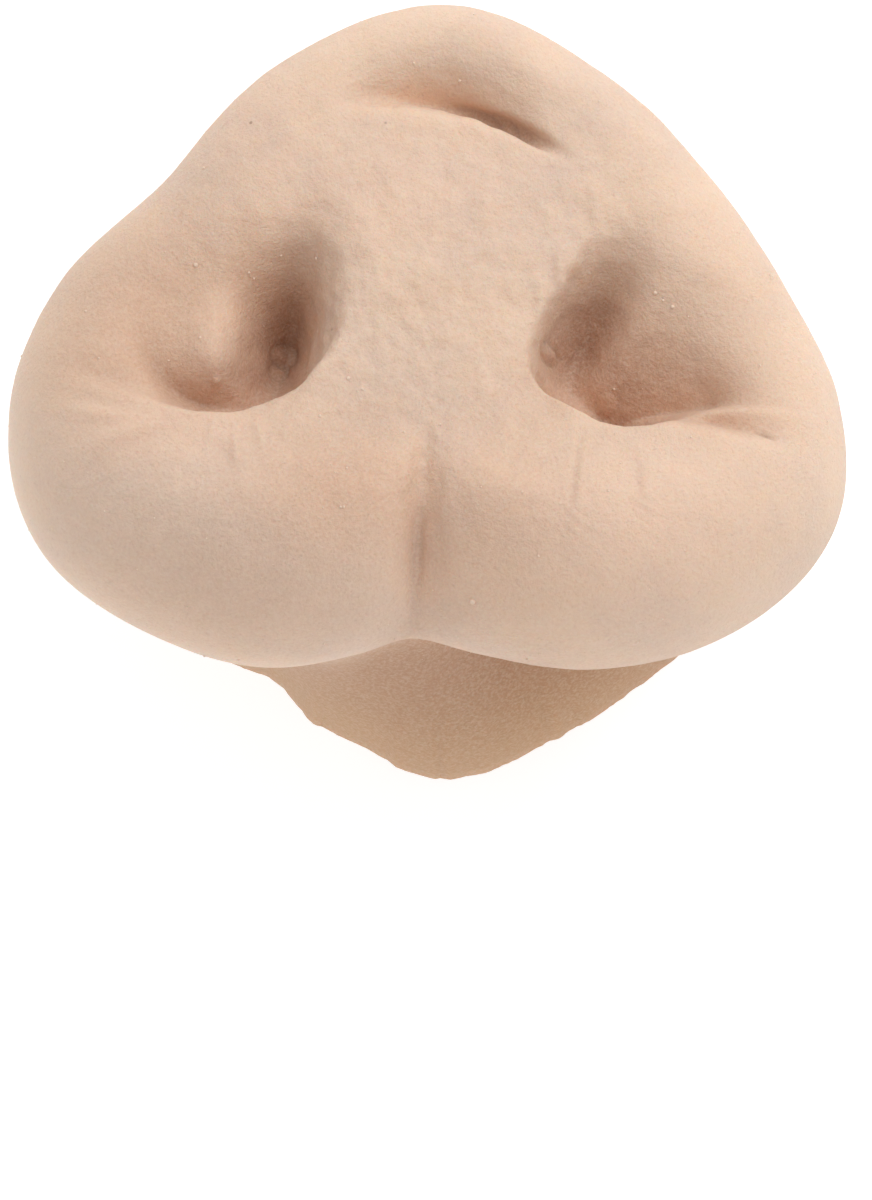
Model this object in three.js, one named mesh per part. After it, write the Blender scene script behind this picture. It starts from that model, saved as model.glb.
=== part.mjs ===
import * as THREE from "three";

// A pig's snout cast in soft latex, which is glued over the wearer's own nose.
// It is one hollow casting, open at the back: a broad disc with a rolled edge,
// two slanting blind nostrils, a groove between the lower lobes, and a skirt
// that runs back to a thin edge which is glued to the face.
// Millimetres. It lies on its open edge as on a table: +Z runs up out of the disc,
// +Y towards the wearer's forehead and +X to the right as one looks at the disc.

// Driving sizes.
const SNOUT_WIDTH = 54;
const SNOUT_HEIGHT = 43.3;
const SNOUT_DEPTH = 35;
const WALL = 2.4;
const GLUE_EDGE = 1.2;
const NOSTRIL_DEPTH = 6;
const CORE_DEPTH = 7;
const CREASE_DEPTH = 4;
const GROOVE_DEPTH = 2.8;
const LOBE_SWELL = 1.3;

const HALF_WIDTH = SNOUT_WIDTH / 2;
const HALF_HEIGHT = SNOUT_HEIGHT / 2;

// The mesh: steps round the axis, and along each radial section.
const STEPS_ROUND = 96;
const STEPS = { face: 25, roll: 7, skirt: 6, innerSkirt: 4, innerRoll: 4, innerFace: 10 };

// The disc's outline and rolled edge, seen from the front. Angles run from +X towards +Y.
// reach is the distance from the axis, as a share of half the width and height.
// roll is the width of the rolled edge as a share of half the width, and drop its height
// as a share of the depth. crest is the edge's highest line, as a share of the depth.
// tuck is how far the roll turns, in degrees: past 90 it goes back under itself.
const DISC = [
  { angle: 0, reach: 0.98, roll: 0.3, drop: 0.24, crest: 0.965, tuck: 132 },
  { angle: 22, reach: 0.926, roll: 0.27, drop: 0.22, crest: 0.95, tuck: 130 },
  { angle: 45, reach: 0.958, roll: 0.21, drop: 0.18, crest: 0.94, tuck: 130 },
  { angle: 68, reach: 1.08, roll: 0.15, drop: 0.14, crest: 0.94, tuck: 130 },
  { angle: 88, reach: 1.197, roll: 0.13, drop: 0.13, crest: 0.94, tuck: 130 },
  { angle: 108, reach: 1.095, roll: 0.16, drop: 0.14, crest: 0.935, tuck: 130 },
  { angle: 133, reach: 0.934, roll: 0.22, drop: 0.19, crest: 0.93, tuck: 130 },
  { angle: 155, reach: 0.967, roll: 0.31, drop: 0.24, crest: 0.935, tuck: 130 },
  { angle: 180, reach: 1.007, roll: 0.36, drop: 0.26, crest: 0.95, tuck: 130 },
  { angle: 205, reach: 1.018, roll: 0.4, drop: 0.26, crest: 0.965, tuck: 125 },
  { angle: 225, reach: 0.947, roll: 0.43, drop: 0.26, crest: 0.98, tuck: 118 },
  { angle: 243, reach: 0.872, roll: 0.42, drop: 0.24, crest: 0.985, tuck: 112 },
  { angle: 257, reach: 0.765, roll: 0.36, drop: 0.2, crest: 0.975, tuck: 108 },
  { angle: 266, reach: 0.7, roll: 0.32, drop: 0.18, crest: 0.95, tuck: 105 },
  { angle: 278, reach: 0.75, roll: 0.35, drop: 0.2, crest: 0.98, tuck: 125 },
  { angle: 297, reach: 0.882, roll: 0.42, drop: 0.24, crest: 1.0, tuck: 140 },
  { angle: 316, reach: 0.981, roll: 0.41, drop: 0.26, crest: 0.995, tuck: 138 },
  { angle: 338, reach: 1.03, roll: 0.34, drop: 0.26, crest: 0.98, tuck: 134 },
];

// The glued edge, from behind the cheeks round to the tongue over the upper lip.
// reach is as above. arch is how far the edge stands off the table, as a share of the depth.
const GLUED = [
  { angle: 0, reach: 0.85, arch: 0 },
  { angle: 30, reach: 0.83, arch: 0 },
  { angle: 62, reach: 0.87, arch: 0.05 },
  { angle: 90, reach: 0.95, arch: 0.09 },
  { angle: 118, reach: 0.87, arch: 0.05 },
  { angle: 150, reach: 0.83, arch: 0 },
  { angle: 180, reach: 0.85, arch: 0 },
  { angle: 210, reach: 0.82, arch: 0 },
  { angle: 230, reach: 0.767, arch: 0 },
  { angle: 240, reach: 0.753, arch: 0.01 },
  { angle: 249, reach: 0.826, arch: 0.02 },
  { angle: 260, reach: 0.88, arch: 0.03 },
  { angle: 271, reach: 0.958, arch: 0.035 },
  { angle: 290, reach: 0.886, arch: 0.02 },
  { angle: 308, reach: 0.838, arch: 0 },
  { angle: 330, reach: 0.84, arch: 0 },
];

// The nostrils' mouths. turn runs from the side next to the middle, over the top, to the
// outer side. left and right are how far each nostril's mouth reaches from its middle, as a
// share of half the width, and the steep columns make that side's wall upright where large.
const NOSTRIL_MOUTH = [
  { turn: 0, left: 0.165, leftSteep: 1.8, right: 0.125, rightSteep: 2.4 },
  { turn: 20, left: 0.2, leftSteep: 1.6, right: 0.13, rightSteep: 2.4 },
  { turn: 45, left: 0.24, leftSteep: 1.5, right: 0.155, rightSteep: 2.4 },
  { turn: 78, left: 0.29, leftSteep: 1.4, right: 0.24, rightSteep: 2.2 },
  { turn: 105, left: 0.34, leftSteep: 1.4, right: 0.31, rightSteep: 1.8 },
  { turn: 140, left: 0.42, leftSteep: 1.4, right: 0.42, rightSteep: 1.6 },
  { turn: 172, left: 0.44, leftSteep: 1.6, right: 0.53, rightSteep: 1.6 },
  { turn: 193, left: 0.41, leftSteep: 2.1, right: 0.48, rightSteep: 1.9 },
  { turn: 205, left: 0.34, leftSteep: 2.7, right: 0.37, rightSteep: 2.5 },
  { turn: 216, left: 0.29, leftSteep: 3.1, right: 0.31, rightSteep: 3.0 },
  { turn: 228, left: 0.24, leftSteep: 3.6, right: 0.265, rightSteep: 3.6 },
  { turn: 242, left: 0.195, leftSteep: 3.8, right: 0.207, rightSteep: 4.0 },
  { turn: 257, left: 0.158, leftSteep: 3.8, right: 0.163, rightSteep: 4.2 },
  { turn: 286, left: 0.13, leftSteep: 3.6, right: 0.12, rightSteep: 4.2 },
  { turn: 318, left: 0.125, leftSteep: 2.8, right: 0.108, rightSteep: 3.6 },
];

// The nostrils. x and y place the middle of the mouth, as shares of half the width and height.
// depth is a length, and inward and down are how far the pit leans to those sides for each
// millimetre of depth. The core is a deeper oval dent in it, in the same shares, and its lean
// is how far it runs to the right for each millimetre upwards.
const NOSTRILS = [
  {
    side: "left", x: -0.375, y: 0.14, depth: 0.83 * NOSTRIL_DEPTH, inward: 0.06, down: 0.7,
    core: { x: -0.36, y: 0.215, wide: 0.072, high: 0.21, depth: CORE_DEPTH, lean: 0.26 },
  },
  {
    side: "right", x: 0.345, y: 0.12, depth: 0.95 * NOSTRIL_DEPTH, inward: 0.16, down: 0.65,
    core: { x: 0.37, y: 0.2, wide: 0.08, high: 0.2, depth: 0.44 * CORE_DEPTH, lean: 0.45 },
  },
];

// Folds in the disc: each is a dent along an arc from one point by way of another to a third,
// in shares of half the width and height. depth is a length. left and right are how far the
// dent spreads to those sides of the way it runs, as shares of half the width, and peak is
// where along it the fold is deepest.
const FOLDS = [
  {
    name: "under the top edge", depth: 0.9 * CREASE_DEPTH,
    from: [-0.28, 0.83], by: [0.05, 0.955], to: [0.35, 0.69],
    left: 0.095, right: 0.028, peak: 0.6,
  },
  {
    name: "between the lobes", depth: GROOVE_DEPTH,
    from: [-0.035, -0.17], by: [-0.045, -0.5], to: [-0.075, -1.0],
    left: 0.17, right: 0.04, peak: 0.6,
  },
  {
    name: "beside the right nostril", depth: 0.65 * CREASE_DEPTH,
    from: [0.4, -0.06], by: [0.65, 0.0], to: [0.9, -0.06],
    left: 0.13, right: 0.025, peak: 0.52,
  },
  {
    name: "below that one", depth: 0.45 * CREASE_DEPTH,
    from: [0.42, -0.07], by: [0.63, -0.07], to: [0.86, -0.18],
    left: 0.07, right: 0.03, peak: 0.55,
  },
  {
    name: "beside the left nostril", depth: 0.22 * CREASE_DEPTH,
    from: [-0.64, 0.0], by: [-0.76, 0.02], to: [-0.9, 0.12],
    left: 0.05, right: 0.07, peak: 0.4,
  },
  {
    name: "foot of the left nostril", depth: 0.55 * CREASE_DEPTH,
    from: [-0.724, 0.34], by: [-0.724, -0.129], to: [-0.344, 0.036],
    left: 0.065, right: 0.04, peak: 0.55,
  },
  {
    name: "foot of the right nostril", depth: 0.5 * CREASE_DEPTH,
    from: [0.3, 0.163], by: [0.396, -0.137], to: [0.627, 0.0],
    left: 0.1, right: 0.035, peak: 0.5,
  },
];

// Swellings of the disc, each a smooth round hump. x, y, wide and high are shares of half
// the width and height, and rise is a length.
const SWELLS = [
  { name: "left lobe", x: -0.52, y: -0.4, wide: 0.46, high: 0.4, rise: 1.25 * LOBE_SWELL },
  { name: "right lobe", x: 0.54, y: -0.42, wide: 0.48, high: 0.4, rise: 1.3 * LOBE_SWELL },
  { name: "bridge between the nostrils", x: 0.0, y: 0.1, wide: 0.3, high: 0.5, rise: 0.4 * LOBE_SWELL },
  { name: "floor of the left nostril", x: -0.47, y: 0.17, wide: 0.09, high: 0.15, rise: 2.0 * LOBE_SWELL },
  { name: "round the left nostril", x: -0.58, y: 0.26, wide: 0.26, high: 0.3, rise: -0.9 * LOBE_SWELL },
  { name: "round the right nostril", x: 0.64, y: 0.17, wide: 0.24, high: 0.28, rise: -0.6 * LOBE_SWELL },
];

const LIP_EASE = 1.9; // how gently the disc turns into a nostril: larger is rounder
const FACE_CENTRE = 0.945; // height of the disc's middle, as a share of the depth
const SKIRT_LEAVES = 0.2; // how far the skirt runs on from the roll, as a share of the depth
const SKIRT_LANDS = 0.4; // how far it comes straight up from the glued edge, likewise
const INNER_CALM = 0.85; // the folds' depth on the inside, where thick latex evens them out
const INNER_SPREAD = 1.5; // how much wider the dents are on the inside, for each length of wall
const EDGE_BLEND = 0.5; // share of the skirt over which its wall thins to the glued edge
const FULL_TURN = 360;

const radians = THREE.MathUtils.degToRad;
const mix = THREE.MathUtils.lerp;
const clamp = THREE.MathUtils.clamp;
const smooth = (t) => THREE.MathUtils.smoothstep(t, 0, 1);

// Reads a table of rows round a circle as smooth functions of the angle: one number for
// each named column.
function aroundCircle(rows, angleColumn, columns) {
  const closed = [...rows, { ...rows[0], [angleColumn]: rows[0][angleColumn] + FULL_TURN }];
  const curve = new THREE.CubicInterpolant(
    closed.map((row) => row[angleColumn]),
    closed.flatMap((row) => columns.map((column) => row[column])),
    columns.length,
  );
  curve.settings = { endingStart: THREE.WrapAroundEnding, endingEnd: THREE.WrapAroundEnding };
  return (angle) => {
    const found = curve.evaluate(THREE.MathUtils.euclideanModulo(angle, FULL_TURN));
    return Object.fromEntries(columns.map((column, i) => [column, found[i]]));
  };
}

const discAt = aroundCircle(DISC, "angle", ["reach", "roll", "drop", "crest", "tuck"]);
const gluedAt = aroundCircle(GLUED, "angle", ["reach", "arch"]);
const mouthAt = aroundCircle(NOSTRIL_MOUTH, "turn", ["left", "leftSteep", "right", "rightSteep"]);

// How deep a nostril is at a point of the disc, from 0 at its mouth to 1. spread widens the
// mouth: the inside of the wall lies that much further out.
function nostrilShare(nostril, x, y, spread) {
  const across = (x - nostril.x * HALF_WIDTH) * (nostril.side === "left" ? 1 : -1);
  const up = y - nostril.y * HALF_HEIGHT;
  const mouth = mouthAt(THREE.MathUtils.radToDeg(Math.atan2(up, across)));
  const ratio = Math.hypot(across, up) / (mouth[nostril.side] * HALF_WIDTH + spread);
  return ratio >= 1 ? 0 : (1 - ratio ** mouth[`${nostril.side}Steep`]) ** LIP_EASE;
}

// How deep the core of a nostril is at a point of the disc, from 0 to 1.
function coreShare(core, x, y, spread) {
  const up = y - core.y * HALF_HEIGHT;
  const across = x - core.x * HALF_WIDTH - core.lean * up;
  const wide = core.wide * HALF_WIDTH + spread;
  const high = core.high * HALF_HEIGHT + spread;
  return Math.exp(-((across / wide) ** 2) - (up / high) ** 2);
}

// How deep a fold is at a point, from 0 to 1. Its arc is walked in short steps.
const ARC_STEPS = 24;
const folds = FOLDS.map((fold) => {
  const place = ([x, y]) => new THREE.Vector2(x * HALF_WIDTH, y * HALF_HEIGHT);
  const arc = new THREE.QuadraticBezierCurve(place(fold.from), place(fold.by), place(fold.to));
  return { ...fold, points: arc.getPoints(ARC_STEPS) };
});

function foldShare(fold, x, y, spread) {
  let nearest = Infinity;
  let along = 0;
  let side = 0;
  for (let i = 0; i < ARC_STEPS; i += 1) {
    const a = fold.points[i];
    const b = fold.points[i + 1];
    const run = b.clone().sub(a);
    const offset = new THREE.Vector2(x - a.x, y - a.y);
    const t = clamp(offset.dot(run) / run.lengthSq(), 0, 1);
    const gap = offset.distanceTo(run.clone().multiplyScalar(t));
    if (gap < nearest) {
      nearest = gap;
      along = (i + t) / ARC_STEPS;
      side = run.cross(offset);
    }
  }
  const width = (side > 0 ? fold.left : fold.right) * HALF_WIDTH + spread;
  const taper = along < fold.peak ? along / fold.peak : (1 - along) / (1 - fold.peak);
  return smooth(taper) * Math.exp(-2 * (nearest / width) ** 1.5);
}

function swellShare(swell, x, y) {
  const across = (x / HALF_WIDTH - swell.x) / swell.wide;
  const up = (y / HALF_HEIGHT - swell.y) / swell.high;
  return Math.exp(-(across ** 2) - up ** 2);
}

// What the disc's form adds to a plain cushion shape at a point of the disc: how far it
// stands out, and how far the leaning nostrils carry it sideways. The other dents and humps
// are placed by where a point lies once it is carried.
function relief(x, y, spread, calm) {
  const moved = new THREE.Vector3();
  for (const nostril of NOSTRILS) {
    const depth = nostril.depth * nostrilShare(nostril, x, y, spread);
    moved.x += depth * nostril.inward * (nostril.side === "left" ? 1 : -1);
    moved.y -= depth * nostril.down;
    moved.z -= depth;
  }
  const atX = x + moved.x;
  const atY = y + moved.y;
  for (const { core } of NOSTRILS) moved.z -= core.depth * coreShare(core, atX, atY, spread);
  for (const swell of SWELLS) moved.z += swell.rise * swellShare(swell, atX, atY);
  for (const fold of folds) moved.z -= calm * fold.depth * foldShare(fold, atX, atY, spread);
  return moved;
}

// The plain section in one direction from the axis: the face, the rolled edge and the skirt.
// It gives the distance from the axis and the height at a station, which runs from 0 to 1
// over the face, to 2 round the roll and to 3 down the skirt.
function sectionAt(angle) {
  const disc = discAt(angle);
  const glued = gluedAt(angle);
  const along = new THREE.Vector2(
    Math.cos(radians(angle)) * HALF_WIDTH,
    Math.sin(radians(angle)) * HALF_HEIGHT,
  );
  const scale = along.length();
  const rollWide = disc.roll * HALF_WIDTH;
  const rollHigh = disc.drop * SNOUT_DEPTH;
  const crest = disc.crest * SNOUT_DEPTH;
  const flat = disc.reach * scale - rollWide;
  const turned = (degrees) => new THREE.Vector2(
    flat + rollWide * Math.sin(radians(degrees)),
    crest - rollHigh * (1 - Math.cos(radians(degrees))),
  );
  const start = turned(disc.tuck);
  const heading = new THREE.Vector2(Math.cos(radians(disc.tuck)), -Math.sin(radians(disc.tuck)));
  const end = new THREE.Vector2(glued.reach * scale, Math.max(glued.arch, 0) * SNOUT_DEPTH);
  const skirt = new THREE.CubicBezierCurve(
    start,
    start.clone().addScaledVector(heading, SKIRT_LEAVES * SNOUT_DEPTH),
    end.clone().add(new THREE.Vector2(0, SKIRT_LANDS * SNOUT_DEPTH)),
    end,
  );
  const point = (station) => {
    if (station <= 1) {
      const height = mix(FACE_CENTRE * SNOUT_DEPTH, crest, smooth(station) ** 2);
      return new THREE.Vector2(flat * station, height);
    }
    return station <= 2 ? turned(disc.tuck * (station - 1)) : skirt.getPoint(station - 2);
  };
  return { direction: along.normalize(), tuck: disc.tuck, point };
}

// The way out of the latex at a station, square to the section: upwards on the axis, and
// sideways at the glued edge.
function outwards(section, station) {
  if (station === 0) return new THREE.Vector2(0, 1);
  if (station === 3) return new THREE.Vector2(1, 0);
  const step = 0.01;
  const ahead = section.point(Math.min(station + step, 3));
  const run = ahead.sub(section.point(Math.max(station - step, 0))).normalize();
  return new THREE.Vector2(-run.y, run.x);
}

// The relief is whole on the face and fades out round the roll.
function reliefFade(section, station) {
  const turned = clamp((station - 1) * section.tuck, 0, 90);
  return station >= 2 ? 0 : Math.cos(radians(turned)) ** 2;
}

function place(section, station, inset, spread, calm) {
  const out = outwards(section, station);
  const plain = section.point(station).addScaledVector(out, -inset);
  const x = section.direction.x * plain.x;
  const y = section.direction.y * plain.x;
  const fade = reliefFade(section, station);
  const moved = relief(x, y, spread, calm).multiplyScalar(fade);
  return new THREE.Vector3(
    x + section.direction.x * out.x * moved.z + moved.x,
    y + section.direction.y * out.x * moved.z + moved.y,
    plain.y + out.y * moved.z,
  );
}

const outerPoint = (section, station) => place(section, station, 0, 0, 1);

// The inside follows the outside a wall's thickness in, and the wall thins down the skirt.
function innerPoint(section, station) {
  const thinning = smooth((station - 3 + EDGE_BLEND) / EDGE_BLEND);
  return place(section, station, mix(WALL, GLUE_EDGE, thinning), INNER_SPREAD * WALL, INNER_CALM);
}

// The stations of one closed section: down the inside, round the glued edge and up outside.
function stations() {
  const list = [];
  const run = (point, from, to, steps) => {
    for (let i = 0; i < steps; i += 1) list.push({ point, station: mix(from, to, i / steps) });
  };
  run(innerPoint, 0, 1, STEPS.innerFace);
  run(innerPoint, 1, 2, STEPS.innerRoll);
  run(innerPoint, 2, 3, STEPS.innerSkirt);
  list.push({ point: innerPoint, station: 3 });
  run(outerPoint, 3, 2, STEPS.skirt);
  run(outerPoint, 2, 1, STEPS.roll);
  run(outerPoint, 1, 0, STEPS.face);
  list.push({ point: outerPoint, station: 0 });
  return list;
}

// A lathe turns a closed section into a ring of faces, and each of its points then moves to
// its own place on the snout.
function castSnout() {
  const list = stations();
  const blank = list.map((_, i) => new THREE.Vector2(i === 0 || i === list.length - 1 ? 0 : 1, -i));
  const geometry = new THREE.LatheGeometry(blank, STEPS_ROUND);
  const position = geometry.getAttribute("position");
  for (let turn = 0; turn <= STEPS_ROUND; turn += 1) {
    const section = sectionAt((FULL_TURN * (turn % STEPS_ROUND)) / STEPS_ROUND);
    list.forEach(({ point, station }, i) => {
      const at = point(section, station);
      position.setXYZ(turn * list.length + i, at.x, at.y, at.z);
    });
  }
  geometry.deleteAttribute("normal");
  geometry.deleteAttribute("uv");
  return geometry;
}

// The origin is the middle of the footprint, on the table.
function standOnTable(geometry) {
  geometry.computeBoundingBox();
  const { min, max } = geometry.boundingBox;
  geometry.translate(-(min.x + max.x) / 2, -(min.y + max.y) / 2, -min.z);
  return geometry;
}

const latex = new THREE.MeshStandardMaterial({ color: 0xdcbda5, roughness: 0.75, metalness: 0 });
latex.name = "latex";

const snout = new THREE.Mesh(standOnTable(castSnout()), latex);
snout.name = "snout_shell";

const group = new THREE.Group();
group.add(snout);

export default group;
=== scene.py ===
# %% [markdown]
# # A pig's snout in latex
#
# This is a fake nose that an actor glues over their own: one soft casting, hollow and open at
# the back. Nothing on it is bolted or sewn, so the whole lesson is about one surface. We make
# its form from a few tables, then press the small folds and lumps into it, and then give it the
# matte, slightly see-through skin of natural rubber.
#
# The solid model comes first. It fixes where everything is, and how large.

# %% Load the solid model
import math
from collections import namedtuple

import bmesh
import bpy
import numpy as np
from mathutils import Matrix, Vector, noise
from mathutils.bvhtree import BVHTree


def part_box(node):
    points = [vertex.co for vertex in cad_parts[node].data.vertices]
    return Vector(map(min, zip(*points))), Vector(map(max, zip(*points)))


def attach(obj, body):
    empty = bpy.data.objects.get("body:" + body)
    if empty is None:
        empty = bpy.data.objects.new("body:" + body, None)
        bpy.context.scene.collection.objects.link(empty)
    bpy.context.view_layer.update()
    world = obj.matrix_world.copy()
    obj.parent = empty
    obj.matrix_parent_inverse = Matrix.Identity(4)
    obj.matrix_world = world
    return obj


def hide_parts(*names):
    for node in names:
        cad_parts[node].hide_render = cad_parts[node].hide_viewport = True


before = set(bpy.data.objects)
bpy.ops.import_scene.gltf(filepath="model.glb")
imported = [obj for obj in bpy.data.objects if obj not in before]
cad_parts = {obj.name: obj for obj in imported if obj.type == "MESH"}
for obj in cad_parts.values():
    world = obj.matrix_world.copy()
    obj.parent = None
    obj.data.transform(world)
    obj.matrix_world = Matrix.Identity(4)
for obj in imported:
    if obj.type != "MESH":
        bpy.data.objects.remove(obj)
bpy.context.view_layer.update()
NODE = "snout_shell"

# %% [markdown]
# ## Sizes
#
# We model in millimetres, because the thing is as small as a nose, and turn them into metres
# when a mesh is made. The three main sizes are shares of the solid model's box. The disc is a
# little less high than the whole casting, since the tongue over the upper lip reaches past it,
# and the lobes swell a little over the disc's depth. The rest are the wall and the depths of the
# forms in the disc.

# %% Sizes
MM = 0.001
low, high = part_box(NODE)
box_size = (high - low) / MM
DISC_SHARES = (0.99991, 0.92943, 0.96185)
SNOUT_WIDTH, SNOUT_HEIGHT, SNOUT_DEPTH = (share * size for share, size in zip(DISC_SHARES, box_size))
HALF_WIDTH = SNOUT_WIDTH / 2
HALF_HEIGHT = SNOUT_HEIGHT / 2
WALL = 2.4
GLUE_EDGE = 1.2
NOSTRIL_DEPTH = 6.0
CORE_DEPTH = 7.0
CREASE_DEPTH = 4.0
GROOVE_DEPTH = 2.8
LOBE_SWELL = 1.3
print("snout: %.1f wide, %.1f high, %.1f deep, in mm" % (SNOUT_WIDTH, SNOUT_HEIGHT, SNOUT_DEPTH))

# %% [markdown]
# ## The disc and the glued edge, as tables
#
# A sculptor would turn the piece on a stand and judge its outline all the way round. The tables
# do the same: each row is one direction from the middle of the disc. **reach** is how far the
# form goes there, as a share of half the width and height. **roll** and **drop** are the width
# and the height of its rolled edge, **crest** is the edge's highest line, and **tuck** is how
# many degrees the edge turns before the skirt takes over. The glued edge has its own reach, and
# an **arch** where it stands off the table, over the nose bridge and over the lip.

# %% Tables of the disc and the glued edge
DiscRow = namedtuple("DiscRow", "angle reach roll drop crest tuck")
DISC = [
    DiscRow(0, 0.98, 0.3, 0.24, 0.965, 132),
    DiscRow(22, 0.926, 0.27, 0.22, 0.95, 130),
    DiscRow(45, 0.958, 0.21, 0.18, 0.94, 130),
    DiscRow(68, 1.08, 0.15, 0.14, 0.94, 130),
    DiscRow(88, 1.197, 0.13, 0.13, 0.94, 130),
    DiscRow(108, 1.095, 0.16, 0.14, 0.935, 130),
    DiscRow(133, 0.934, 0.22, 0.19, 0.93, 130),
    DiscRow(155, 0.967, 0.31, 0.24, 0.935, 130),
    DiscRow(180, 1.007, 0.36, 0.26, 0.95, 130),
    DiscRow(205, 1.018, 0.4, 0.26, 0.965, 125),
    DiscRow(225, 0.947, 0.43, 0.26, 0.98, 118),
    DiscRow(243, 0.872, 0.42, 0.24, 0.985, 112),
    DiscRow(257, 0.765, 0.36, 0.2, 0.975, 108),
    DiscRow(266, 0.7, 0.32, 0.18, 0.95, 105),
    DiscRow(278, 0.75, 0.35, 0.2, 0.98, 125),
    DiscRow(297, 0.882, 0.42, 0.24, 1.0, 140),
    DiscRow(316, 0.981, 0.41, 0.26, 0.995, 138),
    DiscRow(338, 1.03, 0.34, 0.26, 0.98, 134),
]
GluedRow = namedtuple("GluedRow", "angle reach arch")
GLUED = [
    GluedRow(0, 0.85, 0),
    GluedRow(30, 0.83, 0),
    GluedRow(62, 0.87, 0.05),
    GluedRow(90, 0.95, 0.09),
    GluedRow(118, 0.87, 0.05),
    GluedRow(150, 0.83, 0),
    GluedRow(180, 0.85, 0),
    GluedRow(210, 0.82, 0),
    GluedRow(230, 0.767, 0),
    GluedRow(240, 0.753, 0.01),
    GluedRow(249, 0.826, 0.02),
    GluedRow(260, 0.88, 0.03),
    GluedRow(271, 0.958, 0.035),
    GluedRow(290, 0.886, 0.02),
    GluedRow(308, 0.838, 0),
    GluedRow(330, 0.84, 0),
]
FACE_CENTRE = 0.945
SKIRT_LEAVES = 0.2
SKIRT_LANDS = 0.4
FULL_TURN = 360


def around(rows, column):
    """A smooth closed curve through one column of a table, as a function of the angle."""
    angles = np.array([row[0] for row in rows], float)
    values = np.array([getattr(row, column) for row in rows], float)
    angles = np.concatenate([angles[-1:] - FULL_TURN, angles, angles[:2] + FULL_TURN])
    values = np.concatenate([values[-1:], values, values[:2]])
    slopes = np.diff(values) / np.diff(angles)
    tangents = np.concatenate([[0], (slopes[1:] + slopes[:-1]) / 2])

    def curve(angle):
        angle = np.mod(angle, FULL_TURN)
        angle = np.where(angle < angles[1], angle + FULL_TURN, angle)
        i = np.searchsorted(angles, angle, side="right") - 1
        gap = angles[i + 1] - angles[i]
        t = (angle - angles[i]) / gap
        return (
            (2 * t**3 - 3 * t**2 + 1) * values[i]
            + (t**3 - 2 * t**2 + t) * gap * tangents[i]
            + (3 * t**2 - 2 * t**3) * values[i + 1]
            + (t**3 - t**2) * gap * tangents[i + 1]
        )

    return curve


disc_curves = {name: around(DISC, name) for name in DiscRow._fields[1:]}
glued_curves = {name: around(GLUED, name) for name in GluedRow._fields[1:]}
print("disc table:", len(DISC), "directions; glued edge:", len(GLUED))

# %% [markdown]
# ## Nostrils
#
# A nostril is a pit that leans towards the middle and under the lip below it, so its wall is
# upright on those sides and a long slope on the outer one. We give its mouth as a table: for each
# **turn** round the nostril's own middle, how far the mouth reaches there on the left and on the
# right nostril, and how **steep** its wall is. Deep inside lies a narrower **core**, a soft hole
# that leans as well.
#
# Both are functions, because we need them again later, to darken the pits.

# %% Nostrils
MouthRow = namedtuple("MouthRow", "turn left left_steep right right_steep")
NOSTRIL_MOUTH = [
    MouthRow(0, 0.165, 1.8, 0.124, 3.0),
    MouthRow(20, 0.2, 1.6, 0.115, 3.2),
    MouthRow(45, 0.25, 1.5, 0.12, 3.2),
    MouthRow(78, 0.3, 1.4, 0.18, 2.6),
    MouthRow(105, 0.34, 1.4, 0.3, 1.8),
    MouthRow(140, 0.42, 1.4, 0.37, 1.5),
    MouthRow(172, 0.44, 1.6, 0.51, 1.5),
    MouthRow(193, 0.41, 2.1, 0.48, 1.9),
    MouthRow(205, 0.34, 2.7, 0.37, 2.5),
    MouthRow(216, 0.29, 3.1, 0.31, 3.0),
    MouthRow(228, 0.24, 3.6, 0.265, 3.6),
    MouthRow(242, 0.195, 3.8, 0.22, 4.0),
    MouthRow(257, 0.158, 3.8, 0.177, 4.2),
    MouthRow(286, 0.13, 3.6, 0.136, 4.2),
    MouthRow(318, 0.13, 2.6, 0.128, 3.8),
]
Nostril = namedtuple(
    "Nostril", "side x y deep inward down core_x core_y core_wide core_high core_deep core_lean"
)
NOSTRILS = [
    Nostril(
        "left", x=-0.375, y=0.14, deep=0.83 * NOSTRIL_DEPTH, inward=0.06, down=0.7,
        core_x=-0.355, core_y=0.215, core_wide=0.078, core_high=0.2, core_deep=CORE_DEPTH, core_lean=0.26,
    ),
    Nostril(
        "right", x=0.345, y=0.12, deep=0.95 * NOSTRIL_DEPTH, inward=0.06, down=0.6,
        core_x=0.37, core_y=0.2, core_wide=0.08, core_high=0.2, core_deep=0.44 * CORE_DEPTH, core_lean=0.45,
    ),
]
LIP_EASE = 1.9
mouth_curves = {name: around(NOSTRIL_MOUTH, name) for name in MouthRow._fields[1:]}


def smooth(t):
    """Eases from 0 to 1."""
    t = np.clip(t, 0, 1)
    return t * t * (3 - 2 * t)


def nostril_share(nostril, x, y, spread=0.0):
    """How deep a nostril is at points of the disc, from 0 at its mouth to 1."""
    across = (x - nostril.x * HALF_WIDTH) * (1 if nostril.side == "left" else -1)
    up = y - nostril.y * HALF_HEIGHT
    turn = np.degrees(np.arctan2(up, across))
    reach = mouth_curves[nostril.side](turn) * HALF_WIDTH + spread
    ratio = np.minimum(np.hypot(across, up) / reach, 1)
    return (1 - ratio ** mouth_curves[nostril.side + "_steep"](turn)) ** LIP_EASE


def core_share(nostril, x, y, spread=0.0):
    """How deep the core of a nostril is at points of the disc, from 0 to 1."""
    up = y - nostril.core_y * HALF_HEIGHT
    across = x - nostril.core_x * HALF_WIDTH - nostril.core_lean * up
    across = across / (nostril.core_wide * HALF_WIDTH + spread)
    up = up / (nostril.core_high * HALF_HEIGHT + spread)
    return np.exp(-(across**2) - up**2)


print("nostrils:", ", ".join("%s, %.1f mm and its core" % (n.side, n.deep) for n in NOSTRILS))

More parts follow.
